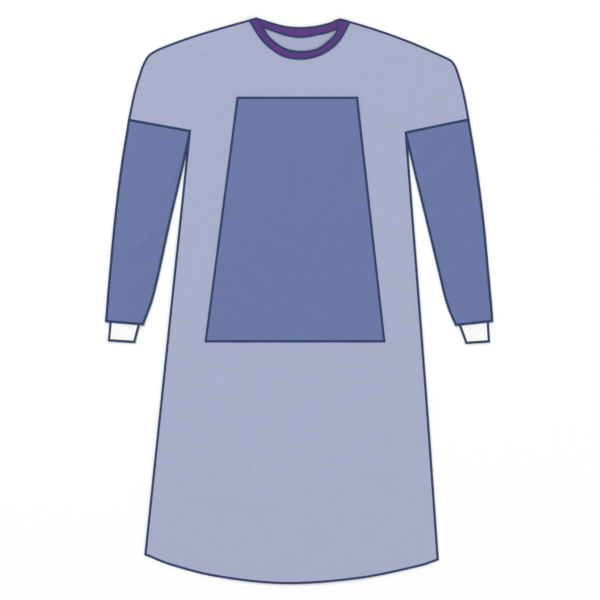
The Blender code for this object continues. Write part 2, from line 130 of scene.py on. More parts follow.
RIGHT_BAND_END = rows(Point, RIGHT_PEAK, (-0.1040, 0.6476), RIGHT_PEAK_INNER)
LEFT_BAND_END = rows(Point, LEFT_PEAK, (0.1044, 0.6447), LEFT_PEAK_INNER)
CHEST_CORNERS = rows(Point,
    (-0.1410, 0.4665), (0.1329, 0.4665), (0.1956, -0.0927), (-0.2143, -0.0927),
)
WRAP_EDGE = rows(Point, (-0.1020, 0.7000), (-0.1550, -0.7000))
UNDER_EDGE = rows(Point, (0.1230, 0.7000), (0.1500, -0.7000))
RIGHT_SLEEVE = rows(Section,
    (*RIGHT_SHOULDER[-1], *RIGHT_UNDERARM),
    (-0.4098, 0.2974, -0.2737, 0.2858),
    (-0.4244, 0.1755, -0.2994, 0.1755),
    (-0.4346, 0.0651, -0.3233, 0.0648),
    (-0.4398, 0.0052, -0.3378, 0.0053),
    (-0.4422, -0.0270, -0.3484, -0.0256),
    (-0.4440, -0.0466, -0.3592, -0.0538),
)
LEFT_SLEEVE = rows(Section,
    (*LEFT_SHOULDER[-1], *LEFT_UNDERARM),
    (0.4089, 0.2974, 0.2691, 0.2858),
    (0.4244, 0.1755, 0.2962, 0.1755),
    (0.4347, 0.0651, 0.3228, 0.0650),
    (0.4402, 0.0053, 0.3373, 0.0053),
    (0.4429, -0.0269, 0.3481, -0.0268),
    (0.4440, -0.0462, 0.3610, -0.0552),
)
RIGHT_CUFF = rows(Section,
    (-0.4331, -0.0486, -0.3687, -0.0549),
    (-0.4372, -0.0908, -0.3793, -0.0946),
)
LEFT_CUFF = rows(Section,
    (0.4339, -0.0494, 0.3705, -0.0567),
    (0.4366, -0.0933, 0.3851, -0.0966),
)
WRAP_TIE = Strip(-0.128, 0.120, -0.196, -0.430, 0.028)
SIDE_TIE = Strip(-0.245, 0.110, -0.262, -0.400, 0.028)

# Soft ridges (height over 0) and troughs (height under 0) left by folding and handling
CREASES = rows(Crease,
    (-0.232, 0.372, -0.150, 0.505, 0.010, 0.016, 0.0026),
    (-0.222, 0.352, -0.172, 0.430, -0.008, 0.012, -0.0019),
    (-0.238, 0.395, -0.235, 0.540, -0.012, 0.018, 0.0022),
    (0.228, 0.372, 0.160, 0.488, -0.010, 0.015, 0.0024),
    (0.222, 0.345, 0.178, 0.418, 0.006, 0.012, -0.0016),
    (0.236, 0.392, 0.248, 0.520, 0.010, 0.017, 0.0022),
    (-0.350, 0.535, -0.262, 0.470, 0.012, 0.016, 0.0022),
    (0.352, 0.520, 0.275, 0.462, -0.012, 0.018, 0.0024),
    (-0.300, 0.560, -0.150, 0.560, -0.014, 0.020, 0.0019),
    (0.290, 0.545, 0.150, 0.572, 0.012, 0.018, 0.0019),
    (-0.245, 0.250, -0.272, 0.020, 0.006, 0.014, 0.0020),
    (0.232, 0.205, 0.262, -0.060, -0.007, 0.013, 0.0020),
    (-0.150, -0.120, -0.205, -0.420, 0.012, 0.022, 0.0028),
    (-0.105, -0.110, -0.120, -0.330, -0.008, 0.017, -0.0020),
    (-0.065, -0.150, -0.082, -0.560, 0.014, 0.024, 0.0026),
    (-0.015, -0.180, -0.012, -0.460, -0.006, 0.018, -0.0019),
    (0.045, -0.110, 0.066, -0.540, -0.012, 0.025, 0.0028),
    (0.100, -0.105, 0.135, -0.350, 0.008, 0.018, -0.0020),
    (0.150, -0.120, 0.205, -0.500, -0.010, 0.023, 0.0026),
    (-0.255, -0.260, -0.290, -0.560, 0.006, 0.018, 0.0024),
    (0.255, -0.240, 0.285, -0.560, -0.006, 0.017, 0.0024),
    (-0.130, 0.430, -0.050, 0.260, 0.016, 0.024, 0.0022),
    (0.118, 0.425, 0.052, 0.240, -0.014, 0.022, 0.0020),
    (-0.160, 0.180, 0.020, 0.110, 0.018, 0.026, 0.0020),
    (0.175, 0.150, 0.010, 0.055, -0.016, 0.024, -0.0016),
    (-0.010, 0.420, 0.006, 0.170, 0.008, 0.020, -0.0014),
    (-0.190, 0.020, -0.030, -0.060, -0.010, 0.020, 0.0019),
    (0.170, -0.010, 0.030, -0.070, 0.010, 0.020, 0.0016),
    (-0.300, -0.420, 0.000, -0.455, 0.020, 0.030, 0.0014),
    (0.275, -0.380, 0.020, -0.350, -0.018, 0.028, 0.0014),
)
SLEEVE_CREASES = rows(Crease,
    (-0.382, 0.372, -0.300, 0.300, 0.010, 0.014, 0.0024),
    (-0.272, 0.330, -0.345, 0.215, -0.010, 0.013, 0.0022),
    (-0.400, 0.285, -0.330, 0.190, 0.012, 0.015, -0.0019),
    (-0.310, 0.170, -0.395, 0.085, 0.010, 0.013, 0.0024),
    (-0.418, 0.165, -0.350, 0.050, -0.008, 0.014, 0.0022),
    (-0.335, 0.060, -0.405, 0.005, 0.006, 0.010, 0.0019),
    (-0.395, 0.020, -0.392, -0.045, 0.002, 0.006, 0.0016),
    (-0.418, 0.012, -0.421, -0.045, 0.001, 0.006, 0.0016),
    (-0.372, 0.012, -0.378, -0.048, -0.001, 0.006, 0.0014),
    (0.382, 0.368, 0.300, 0.288, -0.010, 0.014, 0.0024),
    (0.268, 0.318, 0.342, 0.205, 0.010, 0.013, 0.0022),
    (0.398, 0.270, 0.330, 0.170, -0.012, 0.015, -0.0019),
    (0.305, 0.155, 0.392, 0.075, -0.010, 0.013, 0.0024),
    (0.416, 0.150, 0.350, 0.040, 0.008, 0.014, 0.0022),
    (0.335, 0.050, 0.402, -0.005, -0.006, 0.010, 0.0019),
    (0.396, 0.018, 0.393, -0.045, 0.002, 0.006, 0.0016),
    (0.418, 0.010, 0.422, -0.044, -0.001, 0.006, 0.0016),
    (0.374, 0.010, 0.380, -0.050, 0.001, 0.006, 0.0014),
)
BACK_CREASE_SHARE = 0.45    # the back panels rise this much of the way into the front's ridges

# How each kind of sewn line sits: its share of the seam width, its height, where its middle
# is over the cloth's top or the floor, the angles that the threads wrap, from straight up,
# and how proud they stand, in thread radii
Sewing = namedtuple("Sewing", "share height rise wrap_start wrap_end proud")
EDGE_SEWING = Sewing(1.06, 0.0028, -0.0008, -80, 175, 0.3)
HEM_SEWING = Sewing(1.04, 0.0016, -0.0004, -80, 150, 0.3)
FLOOR_SEWING = Sewing(0.90, 0.0012, 0.00075, 100, 260, -0.6)
FLAT_SEWING = Sewing(1.00, 0.0014, 0.0001, -72, 72, 0.3)
MOUTH_SEWING = Sewing(1.00, 0.0020, 0.0003, -85, 110, 0.3)
STEP_SEWING = Sewing(1.00, 0.0022, -0.0005, -72, 72, 0.3)
NECK_SEWING = Sewing(0.86, 0.0014, 0.0001, -72, 72, 0.3)
EDGE_SEAT = 0.0028          # edge sewing takes its height from the cloth this far in
CORNER_REACH = 0.0026       # a run goes this far past a corner
SEAM_LEAN = 0.0006          # a sleeve seam's sewing sits this far over to the body
SEAM_REACH = 0.0016         # and goes this far past the underarm corner
INNER_LEAN = 0.0005         # sewing on a sleeve's inner edge sits this far in
GAP_STEP = 0.0005
GAP_REACH = 0.0010          # the front neck line goes this far past the back one
PEAK_REACH = 0.0020         # the tape's end lines go this far past the shoulder peaks
WRAP_HEM = 0.012            # the wrap panel's free edge is sewn from this far over its hem
WRAP_NECK = 0.018           # up to this far under its neck
SEWING_ROUNDS = 3           # smoothing of a seam's heights
BED_SIDES = 10              # faces round a seam's flattened tube
STITCH_STATIONS = 6
STITCH_LEAN = 0.9           # a thread crosses a seam on this share of the stitch pitch
THREAD_SIDES = 3
THREAD_WIDTH = 1.5          # a thread is this much wider along the seam than it is thick

# How the cloth is cut into faces and laid
DROP_FROM = 1.0             # points fall on a solid from this height
BESIDE_HEIGHT = 0.02        # beside it, they take the face nearest to this height
PLANE_SHIFT = 0.37          # the rows of cuts miss the middle by this share of the pitch
CUT_GAP = 2e-5              # points closer to a cut than this are on it
JOIN_GAP = 1e-5             # points of an outline closer than this are one
NODE_GAP = 1e-6             # points of a solid closer than this are one
CAP_GAP = 1e-7              # points of a seam's closed ends
UPWARD = 0.3                # a face whose normal rises more than this faces up
EDGE_PULL = 0.15            # heights at an edge are read this share of the way into the cloth
CREASE_TAPER = 0.7          # power of the sine that a crease runs out by at its ends
SLEEVE_PITCH_SHARE = 0.8
TUBE_ROUNDS = 8             # smoothing of a tube's top layer
UNDER_SHARE = 0.2           # a tube's under layer is this share of the wall over the floor
TUBE_WALL_SHARE = 0.6       # each layer of a tube is this share of the wall
TOP_LAYER = 0.0012          # faces of a tube over this height are in its top layer
MOUTH_GAP = 0.0004          # side faces this near to a mouth's line are the mouth's
CUFF_TUCK = 0.006           # a cuff goes this far into its sleeve
CUFF_ROW_PITCH = 0.004
CUTS_A_RIB = 5
TIE_PITCH = 0.007

PHOTO_WIDTH_PX = 600
METRES_PER_PX = 0.0023
LENS_MM = 85.0
SENSOR_MM = 36.0
CAMERA_REACH = 50.0
VIEW_CENTRE = Point(0.00215, 0.0019)
FLOOR_DROP = 0.0003
FLOOR_HALF = 20.0
ROOM_LIGHT = 0.54

LENGTH = {"unit": "LENGTH", "subtype": "DISTANCE"}
COLOUR = {"min": 0.0, "max": 1.0, "subtype": "COLOR"}


class GownSizes(bpy.types.PropertyGroup):
    cloth_wall: FloatProperty(
        name="Cloth wall", description="Thickness of the shown cloth",
        default=0.0010, min=0.0003, max=0.0012, **LENGTH)
    plan_pitch: FloatProperty(
        name="Plan pitch", description="Spacing of the points that shape the cloth",
        default=0.0085, min=0.004, max=0.03, **LENGTH)
    seam_width: FloatProperty(
        name="Seam width", description="Width of the overlocked lines",
        default=0.0056, min=0.002, max=0.01, **LENGTH)
    stitch_pitch: FloatProperty(
        name="Stitch pitch", description="Spacing of the threads along a seam",
        default=0.0023, min=0.001, max=0.01, **LENGTH)
    thread_radius: FloatProperty(
        name="Thread radius", description="Half the thickness of the sewing thread",
        default=0.00038, min=0.0001, max=0.001, **LENGTH)
    rib_pitch: FloatProperty(
        name="Rib pitch", description="Spacing of the ribs round a cuff",
        default=0.0034, min=0.002, max=0.01, **LENGTH)
    rib_height: FloatProperty(
        name="Rib height", description="Height of a cuff rib over its groove",
        default=0.0006, min=0.0, max=0.002, **LENGTH)
    bond_pitch: FloatProperty(
        name="Bond pitch", description="Spacing of the bonded dots in the non-woven cloth",
        default=0.0014, min=0.0008, max=0.01, **LENGTH)


class GownColours(bpy.types.PropertyGroup):
    body: FloatVectorProperty(
        name="Body", description="Light blue of the body cloth",
        default=(0.368, 0.400, 0.556), **COLOUR)
    panel: FloatVectorProperty(
        name="Panel", description="Darker blue of the chest panel and lower sleeves",
        default=(0.120, 0.161, 0.349), **COLOUR)
    cuff: FloatVectorProperty(
        name="Cuff", description="White of the knit cuffs",
        default=(0.975, 0.97, 0.96), **COLOUR)
    tape: FloatVectorProperty(
        name="Neck tape", description="Purple of the neck binding",
        default=(0.102, 0.034, 0.213), **COLOUR)
    thread: FloatVectorProperty(
        name="Thread", description="Navy of the overlock thread",
        default=(0.026, 0.052, 0.152), **COLOUR)
    floor: FloatVectorProperty(
        name="Floor", description="Pale floor that the gown lies on",
        default=(0.95, 0.95, 0.95), **COLOUR)


# Lines

def smooth_line(points, step):
    """Curve through the points, in chords no longer than the step."""
    knots = [Vector((p.x, p.y)) for p in points]
    line = [knots[0]]
    for index in range(len(knots) - 1):
        here, there = knots[index], knots[index + 1]
        before = knots[index - 1] if index else here
        after = knots[index + 2] if index + 2 < len(knots) else there
        reach = (there - here).length / 3
        out_handle = here + (there - before).normalized() * reach
        in_handle = there - (after - here).normalized() * reach
        chords = max(1, math.ceil((there - here).length / step))
        cuts = interpolate_bezier(here, out_handle, in_handle, there, chords + 1)
        line += [cut.to_2d() for cut in cuts[1:]]
    return line


def spread(line, step):
    """The same line in evenly spaced points, about one step apart."""
    legs = [(there - here).length for here, there in zip(line, line[1:])]
    marks = np.concatenate(([0.0], np.cumsum(legs)))
    count = max(2, round(marks[-1] / step) + 1)
    targets = np.linspace(0.0, marks[-1], count)
    columns = [np.interp(targets, marks, [p[axis] for p in line]) for axis in range(len(line[0]))]
    return [Vector(row) for row in zip(*columns)]


def table_line(points, step, straight=False):
    """Evenly spaced points on the curve, or straight chords, through a table."""
    rough = [Vector((p.x, p.y)) for p in points] if straight else smooth_line(points, step / 4)
    return spread(rough, step)


def gown_lines(step):
    """Every sewn or cut edge as a flat line of points."""
    curves = {
        "right_shoulder": RIGHT_SHOULDER, "left_shoulder": LEFT_SHOULDER,
        "left_side": (LEFT_UNDERARM, LEFT_SIDE_BOW, HEM[-1]), "hem": HEM,
        "front_outer": FRONT_BAND_OUTER, "front_inner": FRONT_BAND_INNER,
        "back_outer": BACK_BAND_OUTER, "back_inner": BACK_BAND_INNER,
    }
    chords = {
        "right_seam": (RIGHT_SHOULDER[-1], RIGHT_UNDERARM),
        "left_seam": (LEFT_SHOULDER[-1], LEFT_UNDERARM),
        "right_side": (RIGHT_UNDERARM, HEM[0]), "chest": CHEST_CORNERS + CHEST_CORNERS[:1],
        "right_band_end": RIGHT_BAND_END, "left_band_end": LEFT_BAND_END,
    }
    for tube, table in (
        ("right_sleeve", RIGHT_SLEEVE), ("right_cuff", RIGHT_CUFF),
        ("left_sleeve", LEFT_SLEEVE), ("left_cuff", LEFT_CUFF),
    ):
        outer = [Point(s.outer_x, s.outer_y) for s in table]
        inner = [Point(s.inner_x, s.inner_y) for s in table]
        curves[tube + "_outer"], curves[tube + "_inner"] = outer, inner
        chords[tube + "_start"] = (outer[0], inner[0])
        chords[tube + "_end"] = (outer[-1], inner[-1])
    lines = {name: table_line(table, step) for name, table in curves.items()}
    for name, table in chords.items():
        lines[name] = table_line(table, step, straight=True)
    return lines


def middle_line(first, second):
    """Line half way between two lines."""
    count = min(len(first), len(second))
    columns = []
    for line in (first, second):
        share = np.linspace(0.0, 1.0, len(line))
        columns.append([np.interp(np.linspace(0.0, 1.0, count), share, [p[a] for p in line])
                        for a in (0, 1)])
    return [Vector(((ax + bx) / 2, (ay + by) / 2))
            for ax, ay, bx, by in zip(*columns[0], *columns[1])]


def neck_line(lines, part):
    """Line where the body cloth ends in the middle of the front or back neck tape."""
    middle = middle_line(lines[f"{part}_outer"], lines[f"{part}_inner"])
    ends = [Vector((table[1].x, table[1].y)) for table in (RIGHT_BAND_END, LEFT_BAND_END)]
    return ends[:1] + middle[1:-1] + ends[1:]


def moved_out(line, distance):
    """The line moved to its left."""
    marks = np.array(line)
    along = np.gradient(marks, axis=0)
    along /= np.linalg.norm(along, axis=1)[:, None]
    return [Vector(row) for row in marks + distance * np.stack((-along[:, 1], along[:, 0]), axis=1)]


def past_ends(line, reach):
    """The line with both ends carried straight on."""
    first = (line[0] - line[1]).normalized() * reach
    last = (line[-1] - line[-2]).normalized() * reach
    return [line[0] + first] + list(line) + [line[-1] + last]


def joined(*lines):
    """Closed outline from lines that follow each other."""
    ring = []
    for line in lines:
        for point in line:
            if not ring or (point - ring[-1]).length > JOIN_GAP:
                ring.append(point)
    while (ring[0] - ring[-1]).length < JOIN_GAP:
        ring.pop()
    return ring


def body_outline(lines, neck):
    """Outline of the front or the back with the upper sleeves."""
    return joined(
        neck, lines["left_shoulder"], lines["left_seam"], lines["left_side"],
        lines["hem"][::-1], lines["right_side"][::-1], lines["right_seam"][::-1],
        lines["right_shoulder"][::-1],
    )


def strip_outline(strip):
    """Corners of a straight tie."""
    start = Vector((strip.start_x, strip.start_y))
    end = Vector((strip.end_x, strip.end_y))
    along = (end - start).normalized()
    side = Vector((-along.y, along.x)) * strip.width / 2
    return [start + side, start - side, end - side, end + side]


def tube_outline(lines, side, part, tuck=0.0):
    """Outline of a flattened sleeve or cuff, with its start moved back by the tuck."""
    outer = list(lines[f"{side}_{part}_outer"])
    inner = list(lines[f"{side}_{part}_inner"])
    if tuck:
        along = ((outer[-1] + inner[-1]) - (outer[0] + inner[0])).normalized()
        outer.insert(0, outer[0] - along * tuck)
        inner.insert(0, inner[0] - along * tuck)
    return joined(outer, inner[::-1])


# Cloth

def cut(bm, place, normal, **keep):
    """Cut every face along a plane."""
    geometry = bm.verts[:] + bm.edges[:] + bm.faces[:]
    bmesh.ops.bisect_plane(bm, geom=geometry, dist=CUT_GAP, plane_co=place, plane_no=normal, **keep)


def flat_cloth(outline, pitch_across, pitch_along, turn=0.0):
    """Flat face of an outline, cut by two rows of planes."""
    bm = bmesh.new()
    bm.faces.new([bm.verts.new((p.x, p.y, 0.0)) for p in outline])
    bm.normal_update()
    if next(iter(bm.faces)).normal.z < 0.0:
        bmesh.ops.reverse_faces(bm, faces=bm.faces)
    middle = sum(outline, Vector((0.0, 0.0))) / len(outline)
    for angle, pitch in ((turn, pitch_across), (turn + math.pi / 2, pitch_along)):
        normal = Vector((math.cos(angle), math.sin(angle), 0.0))
        marks = [(p - middle).dot(normal.to_2d()) for p in outline]
        first = math.floor(min(marks) / pitch) + 1
        last = math.ceil(max(marks) / pitch)
        for index in range(first, last):
            cut(bm, middle.to_3d() + normal * ((index - PLANE_SHIFT) * pitch), normal)
    return bm


def keep_side(bm, edge, keep_left):
    """Cut the cloth along a straight free edge and keep one side."""
    top, foot = (Vector((p.x, p.y, 0.0)) for p in edge)
    along = (foot - top).normalized()
    normal = Vector((-along.y, along.x, 0.0))
    cut(bm, top, normal, clear_outer=keep_left, clear_inner=not keep_left)


def top_of_node(name):
    """The upward faces of a solid, to drop points on."""
    bm = bmesh.new()
    bm.from_mesh(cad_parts[name].data)
    bmesh.ops.remove_doubles(bm, verts=bm.verts, dist=NODE_GAP)
    bm.normal_update()
    downward = [face for face in bm.faces if face.normal.z < UPWARD]
    bmesh.ops.delete(bm, geom=downward, context="FACES")
    tree = BVHTree.FromBMesh(bm)
    bm.free()
    return tree


def height_on(tree, x, y):
    """Height of the topmost face at a place, or of the nearest one beside it."""
    hit = tree.ray_cast(Vector((x, y, DROP_FROM)), Vector((0.0, 0.0, -1.0)))[0]
    if hit is None:
        hit = tree.find_nearest(Vector((x, y, BESIDE_HEIGHT)))[0]
    return hit.z


def drop_on(tree, vert):
    """Height of the solid under a point of the cloth, read just inside an edge of the cloth."""
    place = vert.co.to_2d()
    if vert.is_boundary:
        middles = [face.calc_center_median().to_2d() for face in vert.link_faces if face.normal.z]
        place = place.lerp(sum(middles, Vector((0.0, 0.0))) / len(middles), EDGE_PULL)
    return height_on(tree, *place)


def crease_heights(places, creases):
    """Height that the creases add at each place."""
    total = np.zeros(len(places))
    for crease in creases:
        start = np.array((crease.start_x, crease.start_y))
        leg = np.array((crease.end_x, crease.end_y)) - start
        length = np.hypot(*leg)
        offset = places - start
        along = offset @ leg / length ** 2
        side = (offset[:, 0] * leg[1] - offset[:, 1] * leg[0]) / length
        swerve = crease.bow * 4 * along * (1 - along)
        across = (side - swerve) / crease.half_width
        on_crease = (np.abs(across) < 1) & (along > 0) & (along < 1)
        taper = np.sin(np.pi * np.clip(along, 0, 1)) ** CREASE_TAPER
        ridge = 0.5 + 0.5 * np.cos(np.pi * np.clip(across, -1, 1))
        total += np.where(on_crease, crease.height * taper * ridge, 0.0)
    return total


def back_creases():
    """The front's ridges as the back panels take them up."""
    return [
        crease._replace(height=crease.height * BACK_CREASE_SHARE)
        for crease in CREASES if crease.height > 0.0
    ]


def lay_cloth(bm, verts, tree, creases, rounds):
    """Drop the points on a solid, even out its facets and press the creases in."""
    heights = [drop_on(tree, vert) for vert in verts]
    for vert, height in zip(verts, heights):
        vert.co.z = height
    inner = [vert for vert in verts if not vert.is_boundary]
    for _ in range(rounds):
        bmesh.ops.smooth_vert(bm, verts=inner, factor=0.5, use_axis_z=True)
    places = np.array([vert.co[:2] for vert in verts])
    for vert, extra in zip(verts, crease_heights(places, creases)):
        vert.co.z += extra


def wall_down(bm, wall):
    """Give a laid sheet its thickness, downwards."""
    bmesh.ops.recalc_face_normals(bm, faces=bm.faces)
    if sum(face.normal.z for face in bm.faces) < 0.0:
        bmesh.ops.reverse_faces(bm, faces=bm.faces)
    under = bmesh.ops.extrude_face_region(bm, geom=bm.faces[:], use_keep_orig=True)
    lower = [item for item in under["geom"] if isinstance(item, bmesh.types.BMVert)]
    bmesh.ops.translate(bm, verts=lower, vec=(0.0, 0.0, -wall))
    bmesh.ops.recalc_face_normals(bm, faces=bm.faces)


def put_in_scene(name, data):
    """New object of the data."""
    item = bpy.data.objects.new(name, data)
    bpy.context.scene.collection.objects.link(item)
    return item


def finish_piece(name, bm, material, node=None, smooth_angle=50):
    """Object of a finished bmesh, riding on the gown."""
    mesh = bpy.data.meshes.new(name)
    bm.to_mesh(mesh)
    bm.free()
    mesh.materials.append(material)
    mesh.shade_smooth()
    piece = put_in_scene(name, mesh)
    mesh.set_sharp_from_angle(angle=math.radians(smooth_angle))
    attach(piece, "root")
    if node:
        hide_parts(node)
    return piece


def flat_area(outline):
    """Area of a closed flat outline."""
    pairs = zip(outline, outline[1:] + outline[:1])
    return abs(sum(a.x * b.y - b.x * a.y for a, b in pairs)) / 2


def make_sheet_piece(name, node, outline, material, sizes, creases, rounds=24,
                     free_edge=None, pitch=None, turn=0.0):
    """Panel of cloth laid on its solid."""
    pitch = pitch or sizes.plan_pitch
    bm = flat_cloth(outline, pitch, pitch, turn)
    if free_edge:
        keep_side(bm, *free_edge)
    lay_cloth(bm, bm.verts[:], top_of_node(node), creases, rounds)
    wall_down(bm, sizes.cloth_wall)
    return finish_piece(name, bm, material, node)


def make_tube_piece(name, node, outline, material, pitches, turn, open_lines, creases, sizes,
                    ribs=None):
    """Flattened tube: a top and an under layer joined along both folded edges, open at its ends."""
    bm = flat_cloth(outline, *pitches, turn)
    top = bm.verts[:]
    lay_cloth(bm, top, top_of_node(node), creases, TUBE_ROUNDS)
    under = bmesh.ops.extrude_face_region(bm, geom=bm.faces[:], use_keep_orig=True)
    lower = [item for item in under["geom"] if isinstance(item, bmesh.types.BMVert)]
    for vert in lower:
        vert.co.z = sizes.cloth_wall * UNDER_SHARE
    if ribs:
        for vert in top:
            vert.co.z += ribs(vert.co)
        for vert in lower:
            vert.co.z += sizes.rib_height - ribs(vert.co)
    mouths = []
    for face in bm.faces:
        if abs(face.normal.z) > UPWARD:
            continue
        middle = face.calc_center_median()
        for start, end in open_lines:
            leg = end - start
            off = middle.to_2d() - start
            if abs(off.x * leg.y - off.y * leg.x) / leg.length < MOUTH_GAP:
                mouths.append(face)
                break
    bmesh.ops.delete(bm, geom=mouths, context="FACES_ONLY")
    bmesh.ops.recalc_face_normals(bm, faces=bm.faces)
    top_faces = [face for face in bm.faces if face.calc_center_median().z > TOP_LAYER]
    if sum(face.normal.z for face in top_faces) < 0.0:
        bmesh.ops.reverse_faces(bm, faces=bm.faces)
    piece = finish_piece(name, bm, material, node)
    wall = piece.modifiers.new("Cloth wall", "SOLIDIFY")
    wall.thickness = sizes.cloth_wall * TUBE_WALL_SHARE
    wall.offset = -1.0
    return piece


# Finishes

def feed(tree, node, inputs):
    """Set a node's inputs. A value that is another node's output is linked."""
    for key, value in inputs.items():
        if isinstance(value, bpy.types.NodeSocket):
            tree.links.new(value, node.inputs[key])
        else:
            node.inputs[key].default_value = value


def add_node(tree, kind, name, place, inputs, **settings):
    """Node with its name, settings and inputs."""
    node = tree.nodes.new(kind)
    node.name = node.label = name
    node.location = place
    for key, value in settings.items():
        setattr(node, key, value)
    feed(tree, node, inputs)
    return node


def calculated(tree, name, place, operation, *values):
    """Output of a math node."""
    inputs = dict(enumerate(values))
    return add_node(tree, "ShaderNodeMath", name, place, inputs, operation=operation).outputs[0]


def ranged(tree, name, place, value, low, high):
    """Output of a node that maps a value between 0 and 1 onto a range."""
    inputs = {"Value": value, "To Min": low, "To Max": high}
    return add_node(tree, "ShaderNodeMapRange", name, place, inputs).outputs["Result"]


def bonded_cloth_group():
    """Non-woven look with pressed dots and cloudy fibres, as colour, roughness and height."""
    name = "Bonded cloth"
    if name in bpy.data.node_groups:
        return bpy.data.node_groups[name]
    tree = bpy.data.node_groups.new(name, "ShaderNodeTree")
    for label, kind, value in (
        ("Colour", "NodeSocketColor", (0.5, 0.5, 0.5, 1.0)),
        ("Dots per metre", "NodeSocketFloat", 400.0),
        ("Dot depth", "NodeSocketFloat", 0.5),
        ("Cloud", "NodeSocketFloat", 0.05),
        ("Roughness", "NodeSocketFloat", 0.7),
    ):
        item = tree.interface.new_socket(label, in_out="INPUT", socket_type=kind)
        item.default_value = value
    for label, kind in (
        ("Colour", "NodeSocketColor"), ("Roughness", "NodeSocketFloat"),
        ("Height", "NodeSocketFloat"),
    ):
        tree.interface.new_socket(label, in_out="OUTPUT", socket_type=kind)
    enter = add_node(tree, "NodeGroupInput", "In", (-1200, 0), {}).outputs
    coords = add_node(tree, "ShaderNodeTexCoord", "Place on the cloth", (-1200, 400), {})
    place = coords.outputs["Object"]

    turned = add_node(tree, "ShaderNodeMapping", "Dots on the slant", (-1000, 400), {
        "Vector": place, "Rotation": (0.0, 0.0, math.radians(38)), "Scale": (1.0, 1.35, 0.0)})
    dots = add_node(tree, "ShaderNodeTexVoronoi", "Bonded dots", (-800, 400), {
        "Vector": turned.outputs["Vector"], "Scale": enter["Dots per metre"], "Randomness": 0.0,
    }, feature="F1", voronoi_dimensions="2D")
    pressed = add_node(tree, "ShaderNodeMapRange", "Pressed dot", (-600, 400), {
        "Value": dots.outputs["Distance"], "From Min": 0.20, "From Max": 0.36,
    }, interpolation_type="SMOOTHSTEP").outputs["Result"]
    clouds = add_node(tree, "ShaderNodeTexNoise", "Fibre clouds", (-800, 100), {
        "Vector": place, "Scale": 55.0, "Detail": 6.0, "Roughness": 0.62})
    run = add_node(tree, "ShaderNodeMapping", "Fibre run", (-1000, -150), {
        "Vector": place, "Scale": (900.0, 130.0, 1.0), "Rotation": (0.0, 0.0, math.radians(6))})
    fibres = add_node(tree, "ShaderNodeTexNoise", "Fibres", (-800, -150), {
        "Vector": run.outputs["Vector"], "Scale": 1.0, "Detail": 3.0, "Distortion": 1.6})

    both = calculated(tree, "Clouds and fibres", (-560, 0), "ADD",
                      clouds.outputs["Fac"], fibres.outputs["Fac"])
    centred = calculated(tree, "Around one", (-400, 0), "SUBTRACT", both, 1.0)
    amount = calculated(tree, "Cloud amount", (-240, 0), "MULTIPLY", centred, enter["Cloud"])
    dot_shade = ranged(tree, "Dots a little darker", (-400, 260), pressed, 0.90, 1.03)
    shade = calculated(tree, "Shade", (-80, 120), "ADD", amount, dot_shade)
    colour = add_node(tree, "ShaderNodeVectorMath", "Shaded colour", (120, 120), {
        0: enter["Colour"], "Scale": shade}, operation="SCALE")
    rough = calculated(tree, "Dots a little glossier", (120, -80), "MULTIPLY",
                       enter["Roughness"], dot_shade)
    depth = calculated(tree, "Dot depth", (-80, -220), "MULTIPLY", pressed, enter["Dot depth"])
    height = calculated(tree, "Dots, clouds and fibres", (120, -260), "MULTIPLY_ADD",
                        both, 0.45, depth)
    add_node(tree, "NodeGroupOutput", "Out", (700, 0), {
        "Colour": colour.outputs["Vector"], "Roughness": rough, "Height": height})
    return tree


def new_material(name):
    """Principled material with its node tree and its shader node."""
    material = bpy.data.materials.new(name)
    material.use_nodes = True
    return material, material.node_tree, material.node_tree.nodes["Principled BSDF"]


def bonded_material(name, colour, sizes, roughness, dot_depth, cloud, sheen, coat):
    """Non-woven cloth of one colour."""
    if name in bpy.data.materials:
        return bpy.data.materials[name]
    material, tree, shader = new_material(name)
    cloth = add_node(tree, "ShaderNodeGroup", "Bonded cloth", (-500, 200), {
        "Colour": (*colour, 1.0), "Dots per metre": 1.0 / sizes.bond_pitch,
        "Dot depth": dot_depth, "Cloud": cloud, "Roughness": roughness,
    }, node_tree=bonded_cloth_group()).outputs
    bump = add_node(tree, "ShaderNodeBump", "Cloth relief", (-250, -100), {
        "Strength": 0.6, "Distance": 0.0003, "Height": cloth["Height"]})
    feed(tree, shader, {
        "Base Color": cloth["Colour"], "Roughness": cloth["Roughness"],
        "Normal": bump.outputs["Normal"], "Sheen Weight": sheen, "Sheen Roughness": 0.5,
        "Coat Weight": coat, "Coat Roughness": 0.45, "Specular IOR Level": 0.30,
    })
    return material


